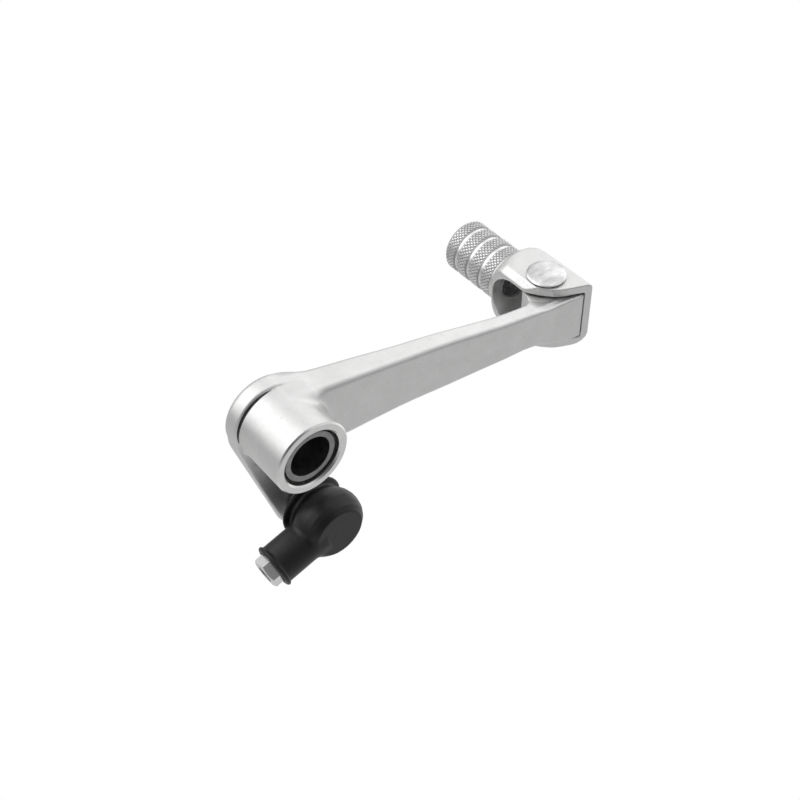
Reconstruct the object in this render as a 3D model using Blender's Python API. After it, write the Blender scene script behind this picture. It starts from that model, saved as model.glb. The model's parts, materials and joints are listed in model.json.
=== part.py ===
"""Motorcycle gear shift lever with a folding toe peg and a ball joint for the shift rod.

The design is laid out around the pivot: the pivot axis is the Y axis, Y grows away from the
engine, X runs along the arm towards the toe peg and Z is up. One empty carries the whole
lever, so that the object's origin is the middle of the bottom of its bounding box.
"""

import math

import bmesh
import bpy
from mathutils import Matrix, Vector

MM = 0.001

# Fits: RUN is the clearance of a running or pressed fit, GAP separates faces that only rest together.
RUN = 0.08 * MM
GAP = 0.3 * MM

# Where the pivot axis meets the boss's engine-side face, measured from the object's origin.
PIVOT = Vector((-42.51, -24.075, 47.085)) * MM

# Pivot boss and what turns inside it. Distances along the boss start at its engine-side face.
BOLT_RADIUS = 6.0 * MM
SLEEVE_RADIUS = 7.7 * MM
SLEEVE_RECESS = 1.0 * MM
SLEEVE_END = 23.5 * MM
HOUSING_RADIUS = 8.5 * MM
BOSS_LENGTH = 23.0 * MM
BOSS_RADIUS = 11.0 * MM
BOSS_WAIST_RADIUS = 10.6 * MM
COLLAR_RADIUS = 11.4 * MM
COLLAR_START = 17.5 * MM
SEAL_RECESS = 0.6 * MM
SEAL_WIDTH = 1.2 * MM
BUSH_LENGTH = 8.5 * MM

# Ear that carries the ball stud.
EAR_THICKNESS = 4.8 * MM
EAR_ROOT_DROP = 3.0 * MM
EAR_EYE_RADIUS = 8.7 * MM
STUD_RADIUS = 3.0 * MM
NUT_HEX = 10.0 * MM
NUT_HEIGHT = 3.2 * MM
NUT_WASHER_RADIUS = 7.8 * MM
NUT_WASHER_HEIGHT = 1.4 * MM

# Ball joint. BALL is its centre, and the stem points backwards and a little down from there.
BALL = Vector((7.6, 6.4, -35.8)) * MM
BALL_RADIUS = 4.0 * MM
NECK_RADIUS = 2.3 * MM
STUD_HEX = 11.0 * MM
STUD_HEX_START = 7.8 * MM
STEM_ANGLE = math.radians(15.2)
STEM_RADIUS = 4.0 * MM
STEM_HEX = 8.0 * MM
STEM_HEX_START = 17.0 * MM
STEM_END = 22.2 * MM
STEM_BORE_RADIUS = 2.5 * MM
BOOT_TUBE_RADIUS = 5.8 * MM
BOOT_TUBE_LIP_RADIUS = 6.45 * MM
BOOT_TUBE_END = 19.3 * MM

# Folding toe piece, placed by the middle of its rivet, at the height of the peg's axis.
RIVET = Vector((91.3, 12.6, -9.3)) * MM
RIVET_RADIUS = 2.8 * MM
RIVET_HEAD_RADIUS = 5.7 * MM
TAIL_RADIUS = 4.0 * MM
TAIL_POCKET_RADIUS = 4.8 * MM
TAIL_POCKET_DEPTH = 2.0 * MM
TAIL_WASHER_HEIGHT = 0.6 * MM
HEAD_HALF_HEIGHT = 11.2 * MM
SLOT_HALF_HEIGHT = 8.2 * MM
SLOT_ROUND_CENTRE = 5.0 * MM
KNUCKLE_HALF_HEIGHT = 7.9 * MM
NOSE_RADIUS = 5.0 * MM
WALL_INSIDE = 5.7 * MM
KNUCKLE_END = 5.3 * MM
FACET_WIDTH = 1.9 * MM
WALL_OUTSIDE = 7.6 * MM
PEG_OFFSET = 0.6 * MM
PEG_RADIUS = 8.0 * MM
COLLAR_END = 15.4 * MM
PEG_END = 35.6 * MM
GROOVE_WIDTH = 1.0 * MM
GROOVE_DEPTH = 0.7 * MM
BAND_PITCH = 5.2 * MM
FIRST_GROOVE = 20.1 * MM
GROOVE_COUNT = 3

# Torsion spring that holds the toe piece against its stop wall.
SPRING_RADIUS = 3.5 * MM
SPRING_WIRE_RADIUS = 0.4 * MM
SPRING_TURNS = 6
SPRING_PITCH = 1.0 * MM
SPRING_TOP = -1.0 * MM
SPRING_POCKET_RADIUS = 4.3 * MM
SPRING_LEG_REACH = 6.6 * MM
SPRING_LEG_ANGLE = 195.0
FOLD_RANGE = 55.0

# Colour, roughness and metallic value of each finish.
FINISHES = {
    "forged aluminium": ((0.72, 0.72, 0.71), 0.42, 1.0),
    "turned aluminium": ((0.80, 0.80, 0.79), 0.28, 1.0),
    "ground steel": ((0.42, 0.42, 0.43), 0.35, 1.0),
    "zinc plated steel": ((0.70, 0.71, 0.72), 0.30, 1.0),
    "polished steel": ((0.78, 0.78, 0.78), 0.12, 1.0),
    "spring steel": ((0.30, 0.30, 0.31), 0.40, 1.0),
    "sintered bronze": ((0.50, 0.36, 0.18), 0.45, 1.0),
    "bearing nylon": ((0.85, 0.84, 0.80), 0.50, 0.0),
    "black rubber": ((0.03, 0.03, 0.03), 0.60, 0.0),
}


def clear_scene():
    """Start from an empty scene."""
    for obj in list(bpy.data.objects):
        bpy.data.objects.remove(obj)


def material(name):
    """The named Principled material, made the first time it is asked for."""
    found = bpy.data.materials.get(name)
    if found:
        return found
    colour, roughness, metallic = FINISHES[name]
    made = bpy.data.materials.new(name)
    made.use_nodes = True
    shader = made.node_tree.nodes["Principled BSDF"]
    shader.inputs["Base Color"].default_value = (*colour, 1.0)
    shader.inputs["Roughness"].default_value = roughness
    shader.inputs["Metallic"].default_value = metallic
    return made


def empty(name, location, parent=None):
    """An empty that marks an axis or a centre and carries the pieces that turn about it."""
    made = bpy.data.objects.new(name, None)
    made.empty_display_size = 5 * MM
    made.location = location
    made.parent = parent
    bpy.context.scene.collection.objects.link(made)
    return made


def finished(name, bm, finish, parent):
    """An object from a bmesh, with its faces turned outwards and round walls shaded smooth."""
    bmesh.ops.remove_doubles(bm, verts=bm.verts, dist=1e-7)
    bmesh.ops.recalc_face_normals(bm, faces=bm.faces)
    mesh = bpy.data.meshes.new(name)
    bm.to_mesh(mesh)
    bm.free()
    mesh.shade_smooth()
    mesh.set_sharp_from_angle(angle=math.radians(35))
    mesh.materials.append(material(finish))
    made = bpy.data.objects.new(name, mesh)
    made.parent = parent
    bpy.context.scene.collection.objects.link(made)
    return made


def helper(obj):
    """Marks an object as a construction solid for a Boolean, which isn't part of the lever."""
    obj.hide_render = True
    obj.display_type = "WIRE"
    return obj


def boolean(target, other, operation):
    """Adds a Boolean of target with a helper solid, leaving it live on the object."""
    modifier = target.modifiers.new(f"{operation.lower()} {other.name}", "BOOLEAN")
    modifier.object = helper(other)
    modifier.operation = operation
    modifier.solver = "EXACT"


def turned_bmesh(profile, steps, frame):
    """A solid of revolution about local Z. Each profile point is (radius, height along Z).

    A profile that starts and ends on the axis closes there; any other profile closes into a ring.
    """
    bm = bmesh.new()
    rings = []
    for radius, height in profile:
        if radius < 1e-9:
            rings.append([bm.verts.new(frame @ Vector((0, 0, height)))])
            continue
        ring = []
        for step in range(steps):
            angle = math.tau * step / steps
            point = Vector((radius * math.cos(angle), radius * math.sin(angle), height))
            ring.append(bm.verts.new(frame @ point))
        rings.append(ring)
    pairs = list(zip(rings, rings[1:]))
    if len(rings[0]) > 1:
        pairs.append((rings[-1], rings[0]))
    for first, second in pairs:
        for step in range(steps):
            following = (step + 1) % steps
            corners = [first[step % len(first)], first[following % len(first)]]
            corners += [second[following % len(second)], second[step % len(second)]]
            distinct = list(dict.fromkeys(corners))
            if len(distinct) > 2:
                bm.faces.new(distinct)
    return bm


# Local Z laid along the pivot axis, and along the stem of the ball joint.
ALONG_Y = Matrix.Rotation(-math.pi / 2, 4, "X")
STEM_DIRECTION = Vector((-math.cos(STEM_ANGLE), 0, -math.sin(STEM_ANGLE)))
ALONG_STEM = STEM_DIRECTION.to_track_quat("Z", "Y").to_matrix().to_4x4()
UPRIGHT = Matrix.Identity(4)


def turned(name, profile, finish, parent, frame=ALONG_Y, steps=32):
    return finished(name, turned_bmesh(profile, steps, frame), finish, parent)


def prism(name, outline, low, high, finish, parent, frame=UPRIGHT):
    """A closed outline of (x, y) points pushed along local Z from low to high."""
    bm = bmesh.new()
    floor = [bm.verts.new(frame @ Vector((x, y, low))) for x, y in outline]
    roof = [bm.verts.new(frame @ Vector((x, y, high))) for x, y in outline]
    bm.faces.new(floor)
    bm.faces.new(roof)
    for index in range(len(outline)):
        following = (index + 1) % len(outline)
        bm.faces.new([floor[index], floor[following], roof[following], roof[index]])
    return finished(name, bm, finish, parent)


def arc(centre, radius, start, end, steps):
    """Points on an arc, with its angles in degrees."""
    points = []
    for step in range(steps + 1):
        angle = math.radians(start + (end - start) * step / steps)
        points.append((centre[0] + radius * math.cos(angle), centre[1] + radius * math.sin(angle)))
    return points


def hexagon(across_flats):
    return arc((0, 0), across_flats / math.sqrt(3), 0, 300, 5)


def ring_profile(inner, outer, low, high, chamfer=0.0):
    """The section of a plain ring or tube, with its outer corners chamfered."""
    if not chamfer:
        return [(inner, low), (outer, low), (outer, high), (inner, high)]
    bottom = [(inner, low), (outer - chamfer, low), (outer, low + chamfer)]
    top = [(outer, high - chamfer), (outer - chamfer, high), (inner, high)]
    return bottom + top


def lofted(name, sections, finish, parent):
    """A solid through closed sections that all have the same number of points."""
    bm = bmesh.new()
    rings = [[bm.verts.new(point) for point in section] for section in sections]
    for first, second in zip(rings, rings[1:]):
        for index in range(len(first)):
            following = (index + 1) % len(first)
            bm.faces.new([first[index], first[following], second[following], second[index]])
    bm.faces.new(rings[0])
    bm.faces.new(rings[-1])
    return finished(name, bm, finish, parent)


def rounded_section(x, front, back, low, high, radius):
    """A rounded rectangle across the arm at distance x from the pivot."""
    corners = [
        ((back - radius, high - radius), 0),
        ((front + radius, high - radius), 90),
        ((front + radius, low + radius), 180),
        ((back - radius, low + radius), 270),
    ]
    points = []
    for centre, start in corners:
        points += arc(centre, radius, start, start + 90, 4)
    return [Vector((x, y, z)) for y, z in points]


def tangent_hull(root, root_radius, eye, eye_radius, steps):
    """The outline of two circles and the straight tangents between them, in one plane."""
    across = Vector(eye) - Vector(root)
    heading = math.degrees(math.atan2(across.y, across.x))
    taper = math.degrees(math.acos((root_radius - eye_radius) / across.length))
    outline = arc(root, root_radius, heading + taper, heading + 360 - taper, steps)
    outline += arc(eye, eye_radius, heading - taper, heading + taper, steps)
    return outline


def rod_profile(radius, low, high):
    """The section of a plain rod."""
    return [(0, low), (radius, low), (radius, high), (0, high)]


def swept(name, path, radius, finish, parent, sides=8):
    """A round wire along a path of points, closed at both ends."""
    bm = bmesh.new()
    rings = []
    for index, point in enumerate(path):
        ahead = path[min(index + 1, len(path) - 1)]
        behind = path[max(index - 1, 0)]
        turn = (ahead - behind).to_track_quat("Z", "Y").to_matrix().to_4x4()
        around = arc((0, 0), radius, 0, 360 * (sides - 1) / sides, sides - 1)
        corners = [Matrix.Translation(point) @ turn @ Vector((x, y, 0)) for x, y in around]
        rings.append(aligned(rings[-1], corners) if rings else corners)
    verts = [[bm.verts.new(corner) for corner in ring] for ring in rings]
    for first, second in zip(verts, verts[1:]):
        for index in range(sides):
            following = (index + 1) % sides
            bm.faces.new([first[index], first[following], second[following], second[index]])
    bm.faces.new(verts[0])
    bm.faces.new(verts[-1])
    return finished(name, bm, finish, parent)


def aligned(previous, ring):
    """The ring started at whichever corner keeps the wire from twisting after the previous ring."""
    def twist(shift):
        return sum((previous[i] - ring[(i + shift) % len(ring)]).length for i in range(len(ring)))

    best = min(range(len(ring)), key=twist)
    return ring[best:] + ring[:best]


# ---------------------------------------------------------------- pivot

def build_pivot(pivot):
    """The steel sleeve that the pivot bolt clamps to the engine."""
    profile = ring_profile(BOLT_RADIUS, SLEEVE_RADIUS, SLEEVE_RECESS, SLEEVE_END, 0.4 * MM)
    turned("pivot_sleeve", profile, "ground steel", pivot, steps=48)


def build_boss_lining(pivot):
    """The two bushes and two dust seals between the sleeve and the lever's boss."""
    inner = SLEEVE_RADIUS + RUN
    outer = HOUSING_RADIUS - RUN
    for side, face, inward in (("inner", SLEEVE_RECESS, 1), ("outer", BOSS_LENGTH, -1)):
        seal_start = face + inward * SEAL_RECESS
        bush_start = seal_start + inward * (SEAL_WIDTH + GAP)
        seal = sorted([seal_start, seal_start + inward * SEAL_WIDTH])
        bush = sorted([bush_start, bush_start + inward * BUSH_LENGTH])
        turned(f"dust_seal_{side}", ring_profile(inner, outer, *seal), "black rubber", pivot)
        turned(f"pivot_bush_{side}", ring_profile(inner, outer, *bush), "sintered bronze", pivot)


# ---------------------------------------------------------------- lever arm

def arm_sections():
    """Sections of the forged arm from inside the boss to the far end of the knuckle.

    Each is the distance from the pivot, then its front, back, lowest and highest side. The arm
    leans inwards towards the engine and gets slimmer up to the neck in front of the knuckle.
    """
    stations = [
        (5.0, 10.8, 21.4, -9.6, 9.8),
        (16.0, 9.7, 18.8, -11.2, 8.9),
        (26.0, 8.7, 16.8, -10.9, 7.8),
        (36.0, 7.75, 14.8, -10.7, 6.6),
        (50.0, 6.4, 12.5, -11.3, 4.9),
        (60.0, 5.45, 11.0, -11.7, 3.2),
        (70.0, 4.5, 9.6, -12.1, 1.5),
        (77.0, 4.1, 9.1, -12.5, 0.4),
        (82.0, 3.85, 9.0, -13.5, -0.6),
        (85.0, 3.7, 9.0, -14.7, -1.4),
        (87.0, 3.55, 9.0, -15.8, -1.5),
        (90.0, 3.3, 9.0, -16.8, -1.6),
        (96.6, 2.4, 9.0, -17.0, -1.6),
    ]
    return [rounded_section(*(value * MM for value in station), 1.6 * MM) for station in stations]


def knuckle_outline():
    """The knuckle seen from above, around the rivet: a round nose towards the toe peg."""
    plan = [(-5.6, 3.2), (-6.9, 2.2), (-7.5, 0.3), (-8.5, -2.0), (-9.6, -3.2), (-10.6, -3.9)]
    nose = arc((0, 0), NOSE_RADIUS, 0, 115, 10) + [(x * MM, y * MM) for x, y in plan]
    buried = -5.2 * MM
    return nose + [(-10.6 * MM, buried), (KNUCKLE_END - 0.1 * MM, buried), (KNUCKLE_END - 0.1 * MM, 0)]


def spring_leg_slot():
    """The sector of the knuckle that the spring's upper leg swings through."""
    start = SPRING_LEG_ANGLE - 10
    end = SPRING_LEG_ANGLE + FOLD_RANGE + 12
    return [(0, 0)] + arc((0, 0), SPRING_LEG_REACH + GAP, start, end, 12)


def build_lever(pivot, rivet):
    """The forged lever: boss, ear, arm and knuckle in one piece, then its machined holes."""
    finish = "forged aluminium"
    arm = lofted("lever_arm", arm_sections(), finish, pivot)

    boss = [
        (0, 0),
        (BOSS_RADIUS - 0.4 * MM, 0),
        (BOSS_RADIUS, 0.4 * MM),
        (BOSS_WAIST_RADIUS, COLLAR_START),
        (COLLAR_RADIUS, COLLAR_START),
        (COLLAR_RADIUS, BOSS_LENGTH - 1.2 * MM),
        (COLLAR_RADIUS - 1.2 * MM, BOSS_LENGTH),
        (0, BOSS_LENGTH),
    ]
    boolean(arm, turned("boss_shape", boss, finish, pivot, steps=64), "UNION")

    root = (0, EAR_ROOT_DROP)
    eye = (BALL.x, -BALL.z)
    hull = tangent_hull(root, COLLAR_RADIUS - 0.2 * MM, eye, EAR_EYE_RADIUS, 20)
    ear_end = COLLAR_START + EAR_THICKNESS
    ear = prism("ear_shape", hull, COLLAR_START, ear_end, finish, pivot, ALONG_Y)
    edge = ear.modifiers.new("rounded edges", "BEVEL")
    edge.width = 0.8 * MM
    edge.segments = 2
    edge.limit_method = "ANGLE"
    edge.angle_limit = math.radians(60)
    boolean(arm, ear, "UNION")

    span = (-KNUCKLE_HALF_HEIGHT, KNUCKLE_HALF_HEIGHT)
    boolean(arm, prism("knuckle_shape", knuckle_outline(), *span, finish, rivet), "UNION")

    housing = rod_profile(HOUSING_RADIUS, -5 * MM, BOSS_LENGTH + 5 * MM)
    boolean(arm, turned("housing_bore", housing, finish, pivot, steps=48), "DIFFERENCE")
    at_stud = Matrix.Translation((BALL.x, 0, BALL.z)) @ ALONG_Y
    hole = rod_profile(STUD_RADIUS + GAP, COLLAR_START - MM, ear_end + MM)
    boolean(arm, turned("stud_hole", hole, finish, pivot, at_stud), "DIFFERENCE")

    through = rod_profile(SPRING_POCKET_RADIUS - 0.4 * MM, -20 * MM, 20 * MM)
    boolean(arm, turned("knuckle_bore", through, finish, rivet, UPRIGHT, steps=36), "DIFFERENCE")
    pocket_top = SPRING_TOP + SPRING_WIRE_RADIUS + GAP
    pocket = rod_profile(SPRING_POCKET_RADIUS, -20 * MM, pocket_top)
    boolean(arm, turned("spring_pocket", pocket, finish, rivet, UPRIGHT), "DIFFERENCE")
    sector = prism("leg_slot", spring_leg_slot(), -20 * MM, pocket_top, finish, rivet)
    boolean(arm, sector, "DIFFERENCE")


# ---------------------------------------------------------------- ball joint

def build_stud(ball):
    """The ball stud with its hexagonal collar, and the washer and nut behind the ear."""
    equator_to_neck = math.degrees(math.acos(NECK_RADIUS / BALL_RADIUS))
    thread_end = COLLAR_START + EAR_THICKNESS + NUT_WASHER_HEIGHT + NUT_HEIGHT + 1.4 * MM
    shank_end = thread_end - BALL.y
    profile = [(0, -BALL_RADIUS)] + arc((0, 0), BALL_RADIUS, -75, equator_to_neck, 10)
    profile += [
        (NECK_RADIUS, STUD_HEX_START + MM),
        (STUD_RADIUS, STUD_HEX_START + 2 * MM),
        (STUD_RADIUS, shank_end - 0.5 * MM),
        (STUD_RADIUS - 0.5 * MM, shank_end),
        (0, shank_end),
    ]
    stud = turned("ball_stud", profile, "zinc plated steel", ball)
    hex_end = COLLAR_START - BALL.y - GAP
    outline = hexagon(STUD_HEX)
    collar = prism(
        "stud_collar", outline, STUD_HEX_START, hex_end, "zinc plated steel", ball, ALONG_Y
    )
    boolean(stud, collar, "UNION")

    start = COLLAR_START + EAR_THICKNESS - BALL.y + GAP
    washer = ring_profile(STUD_RADIUS + GAP, NUT_WASHER_RADIUS, start, start + NUT_WASHER_HEIGHT)
    turned("stud_washer", washer, "zinc plated steel", ball)
    start += NUT_WASHER_HEIGHT + GAP
    nut = prism(
        "stud_nut", hexagon(NUT_HEX), start, start + NUT_HEIGHT, "zinc plated steel", ball, ALONG_Y
    )
    hole = rod_profile(STUD_RADIUS + RUN, start - MM, start + NUT_HEIGHT + MM)
    boolean(nut, turned("nut_hole", hole, "zinc plated steel", ball), "DIFFERENCE")


def build_socket(socket):
    """The socket housing with its hexagonal stem, the liner cup and the cap behind the ball."""
    finish = "zinc plated steel"
    shell = [(5.6, -4.75), (6.9, -4.75), (8.0, -3.5), (8.0, 3.3), (6.9, 4.6), (4.9, 4.6)]
    shell += [(4.9, 2.9), (5.6, 2.9)]
    housing = turned("ball_socket", [(r * MM, y * MM) for r, y in shell], finish, socket)
    round_stem = rod_profile(STEM_RADIUS, 6.3 * MM, STEM_HEX_START + MM)
    boolean(housing, turned("stem_shape", round_stem, finish, socket, ALONG_STEM), "UNION")
    hex_span = (STEM_HEX_START, STEM_END)
    hex_stem = prism("stem_hex", hexagon(STEM_HEX), *hex_span, finish, socket, ALONG_STEM)
    boolean(housing, hex_stem, "UNION")
    drilled = rod_profile(STEM_BORE_RADIUS, 10 * MM, STEM_END + MM)
    boolean(housing, turned("stem_bore", drilled, finish, socket, ALONG_STEM), "DIFFERENCE")

    seat = arc((0, 0), BALL_RADIUS + RUN, 39, -60, 10)
    cup = seat + [(5.5 * MM, seat[-1][1]), (5.5 * MM, seat[0][1])]
    turned("ball_cup", cup, "bearing nylon", socket)
    cap = [(0, -4.7 * MM), (5.5 * MM, -4.7 * MM), (5.5 * MM, -4.15 * MM), (0, -4.15 * MM)]
    turned("socket_cap", cap, finish, socket)


def build_boot(socket):
    """The rubber boot: a bulb over the socket, closed on the engine side, and a tube on the stem."""
    bulb = [(0, -5.6), (7.0, -5.6), (7.55, -5.3), (8.9, -4.4), (9.8, -2.8), (10.15, -0.6)]
    bulb += [(10.0, 1.6), (9.2, 3.6), (8.3, 5.0), (8.0, 5.9), (8.5, 6.6), (9.6, 6.9), (9.6, 7.5)]
    bulb += [(0, 7.5)]
    hollow = [(0, -4.95), (7.2, -4.95), (8.3, -3.6), (8.6, -2.0), (8.6, 2.6), (8.2, 3.9)]
    hollow += [(7.3, 4.9), (2.8, 4.9), (2.8, 9.0), (0, 9.0)]
    boot = turned("dust_boot", [(r * MM, y * MM) for r, y in bulb], "black rubber", socket)
    tube = [
        (0, 7 * MM),
        (BOOT_TUBE_RADIUS, 7 * MM),
        (BOOT_TUBE_RADIUS, BOOT_TUBE_END - 1.4 * MM),
        (BOOT_TUBE_LIP_RADIUS, BOOT_TUBE_END - 1.1 * MM),
        (BOOT_TUBE_LIP_RADIUS, BOOT_TUBE_END),
        (0, BOOT_TUBE_END),
    ]
    boolean(boot, turned("boot_tube", tube, "black rubber", socket, ALONG_STEM), "UNION")
    inside = [(r * MM, y * MM) for r, y in hollow]
    boolean(boot, turned("boot_hollow", inside, "black rubber", socket), "DIFFERENCE")
    hex_reach = STEM_HEX / math.sqrt(3) + GAP
    bore = [
        (0, 5 * MM),
        (STEM_RADIUS + GAP, 5 * MM),
        (STEM_RADIUS + GAP, STEM_HEX_START - GAP),
        (hex_reach, STEM_HEX_START - GAP),
        (hex_reach, BOOT_TUBE_END + MM),
        (0, BOOT_TUBE_END + MM),
    ]
    boolean(boot, turned("boot_bore", bore, "black rubber", socket, ALONG_STEM), "DIFFERENCE")


# ---------------------------------------------------------------- folding toe piece

def peg_frame():
    """Local Z along the peg's axis, from the rivet outwards."""
    return Matrix.Translation((PEG_OFFSET, 0, 0)) @ ALONG_Y


def head_section():
    """The clevis seen along the peg: facets on the open side and a large low corner on the wall."""
    half = HEAD_HALF_HEIGHT
    facet = -WALL_OUTSIDE + 0.1 * MM
    section = [(facet, -half + FACET_WIDTH), (facet, half - FACET_WIDTH), (facet + FACET_WIDTH, half)]
    section += arc((WALL_OUTSIDE - 1.2 * MM, half - 1.2 * MM), 1.2 * MM, 90, 0, 3)
    section += arc((WALL_OUTSIDE - 4 * MM, -half + 4 * MM), 4 * MM, 0, -90, 6)
    section += [(facet + FACET_WIDTH, -half)]
    return [(x, -z) for x, z in section]


def build_clevis(rivet):
    """The clevis: two plates and a stop wall around the knuckle, running into a round collar."""
    finish = "forged aluminium"
    plan = [(7.6, 16), (7.6, -11.1), (5.4, -10.05), (2.8, -8.9), (0.6, -7.9), (-1.2, -6.95)]
    plan += [(-2.6, -5.8), (-4.0, -4.3), (-5.2, -2.8), (-6.3, -1.2), (-7.2, 0.4), (-7.5, 1.6)]
    plan += [(-7.5, 16)]
    outline = [(x * MM, y * MM) for x, y in plan]
    clevis = prism("toe_clevis", outline, -HEAD_HALF_HEIGHT, HEAD_HALF_HEIGHT, finish, rivet)
    span = (-20 * MM, 20 * MM)
    across = prism("head_shape", head_section(), *span, finish, rivet, ALONG_Y)
    boolean(clevis, across, "INTERSECT")

    flare = [(0, -14), (20, -14), (20, 0), (13.4, 5), (12.2, 10.7), (11.2, 13), (9.2, 14.2)]
    flare += [(8.0, 14.8), (8.0, 18), (0, 18)]
    profile = [(r * MM, y * MM) for r, y in flare]
    around = turned("flare_shape", profile, finish, rivet, peg_frame(), 48)
    boolean(clevis, around, "INTERSECT")
    rounded = arc((SLOT_ROUND_CENTRE, 0), SLOT_HALF_HEIGHT, -90, 90, 16)
    rounded += [(-20 * MM, SLOT_HALF_HEIGHT), (-20 * MM, -SLOT_HALF_HEIGHT)]
    sideways = Matrix(((0, 0, 1, 0), (1, 0, 0, 0), (0, 1, 0, 0), (0, 0, 0, 1)))
    slot = prism("slot_shape", rounded, -20 * MM, WALL_INSIDE, finish, rivet, sideways)
    boolean(clevis, slot, "DIFFERENCE")
    outside = rod_profile(30 * MM, COLLAR_END, 30 * MM)
    boolean(clevis, turned("beyond_collar", outside, finish, rivet, peg_frame()), "DIFFERENCE")

    hole = rod_profile(RIVET_RADIUS + RUN, -20 * MM, 20 * MM)
    boolean(clevis, turned("rivet_hole", hole, finish, rivet, UPRIGHT), "DIFFERENCE")
    tail_pocket = rod_profile(TAIL_POCKET_RADIUS, -20 * MM, -HEAD_HALF_HEIGHT + TAIL_POCKET_DEPTH)
    boolean(clevis, turned("tail_pocket", tail_pocket, finish, rivet, UPRIGHT), "DIFFERENCE")
    notch = rod_profile(SPRING_WIRE_RADIUS + GAP, -20 * MM, 0)
    at_leg = Matrix.Translation(spring_foot())
    boolean(clevis, turned("leg_notch", notch, finish, rivet, at_leg, 12), "DIFFERENCE")
    sunk = [(0, 8), (5.3, 8), (5.3, 13.2), (3.3, 15.2), (3.3, 20), (0, 20)]
    recess = [(r * MM, y * MM) for r, y in sunk]
    boolean(clevis, turned("screw_recess", recess, finish, rivet, peg_frame()), "DIFFERENCE")


def build_peg(rivet):
    """The round toe peg with its grip bands, and the screw that holds it from inside the slot."""
    waist = PEG_RADIUS - GROOVE_DEPTH
    profile = [(0, COLLAR_END + GAP), (PEG_RADIUS, COLLAR_END + GAP)]
    for index in range(GROOVE_COUNT):
        low = FIRST_GROOVE + index * BAND_PITCH - GROOVE_WIDTH / 2
        high = low + GROOVE_WIDTH
        profile += [(PEG_RADIUS, low), (waist, low), (waist, high), (PEG_RADIUS, high)]
    profile += [(PEG_RADIUS, PEG_END - 1.2 * MM), (PEG_RADIUS - 0.4 * MM, PEG_END - 0.4 * MM)]
    profile += [(PEG_RADIUS - 1.2 * MM, PEG_END), (0, PEG_END)]
    peg = turned("toe_peg", profile, "turned aluminium", rivet, peg_frame(), 48)
    thread = rod_profile(STUD_RADIUS + RUN, 10 * MM, 29 * MM)
    cutter = turned("peg_thread", thread, "turned aluminium", rivet, peg_frame())
    boolean(peg, cutter, "DIFFERENCE")

    finish = "zinc plated steel"
    shape = [(0, 12.9), (5.0, 12.9), (5.0, 13.2), (3.0, 15.2), (3.0, 28), (0, 28)]
    screw = turned("peg_screw", [(r * MM, y * MM) for r, y in shape], finish, rivet, peg_frame())
    key = prism("screw_key", hexagon(4 * MM), 12 * MM, 15 * MM, finish, rivet, peg_frame())
    boolean(screw, key, "DIFFERENCE")


def build_hinge(rivet):
    """The rivet with its washer, and the bush that it turns in."""
    top = HEAD_HALF_HEIGHT + GAP
    washer_top = -HEAD_HALF_HEIGHT + TAIL_POCKET_DEPTH - GAP
    washer_bottom = washer_top - TAIL_WASHER_HEIGHT
    tail = washer_bottom - GAP
    profile = [
        (0, top + 1.1 * MM),
        (2.2 * MM, top + 1.0 * MM),
        (4.0 * MM, top + 0.7 * MM),
        (5.1 * MM, top + 0.4 * MM),
        (RIVET_HEAD_RADIUS, top),
        (RIVET_RADIUS, top),
        (RIVET_RADIUS, tail),
        (TAIL_RADIUS, tail),
        (TAIL_RADIUS, tail - 0.45 * MM),
        (TAIL_RADIUS - 0.8 * MM, tail - 0.7 * MM),
        (0, tail - 0.75 * MM),
    ]
    turned("fold_rivet", profile, "polished steel", rivet, UPRIGHT)
    washer = ring_profile(RIVET_RADIUS + RUN, TAIL_POCKET_RADIUS - GAP, washer_bottom, washer_top)
    turned("rivet_washer", washer, "polished steel", rivet, UPRIGHT)
    low = SPRING_TOP + SPRING_WIRE_RADIUS + 2 * GAP
    bush = ring_profile(RIVET_RADIUS + RUN, SPRING_POCKET_RADIUS - 0.5 * MM, low, 7.7 * MM)
    turned("fold_bush", bush, "sintered bronze", rivet, UPRIGHT)


def spring_foot():
    """Where the spring's lower leg enters the clevis's lower plate."""
    angle = math.radians(SPRING_LEG_ANGLE - 360 * SPRING_TURNS)
    return Vector((SPRING_RADIUS * math.cos(angle), SPRING_RADIUS * math.sin(angle), 0))


def build_spring(rivet):
    """The torsion spring: a radial leg into the knuckle and an upright leg into the clevis."""
    foot = spring_foot()
    bottom = SPRING_TOP - SPRING_TURNS * SPRING_PITCH
    leg_end = -HEAD_HALF_HEIGHT + TAIL_POCKET_DEPTH + 0.2 * MM
    path = [foot + Vector((0, 0, leg_end)), foot + Vector((0, 0, bottom - 0.5 * MM))]
    steps = 20 * SPRING_TURNS
    for step in range(1, steps):
        share = step / steps
        angle = math.radians(SPRING_LEG_ANGLE + 360 * SPRING_TURNS * (share - 1))
        height = bottom + share * (SPRING_TOP - bottom)
        x = SPRING_RADIUS * math.cos(angle)
        y = SPRING_RADIUS * math.sin(angle)
        path.append(Vector((x, y, height)))
    turn = math.radians(SPRING_LEG_ANGLE)
    outward = Vector((math.cos(turn), math.sin(turn), 0))
    top = Vector((0, 0, SPRING_TOP))
    path.append(outward * (SPRING_RADIUS + SPRING_WIRE_RADIUS) + top)
    path.append(outward * SPRING_LEG_REACH + top)
    swept("fold_spring", path, SPRING_WIRE_RADIUS, "spring steel", rivet)


def build():
    clear_scene()
    pivot = empty("pivot_axis", PIVOT)
    ball = empty("ball_centre", BALL, pivot)
    socket = empty("socket_axis", BALL, pivot)
    rivet = empty("fold_axis", RIVET, pivot)
    build_pivot(pivot)
    build_boss_lining(pivot)
    build_lever(pivot, rivet)
    build_stud(ball)
    build_socket(socket)
    build_boot(socket)
    build_clevis(rivet)
    build_peg(rivet)
    build_hinge(rivet)
    build_spring(rivet)


build()
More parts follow.
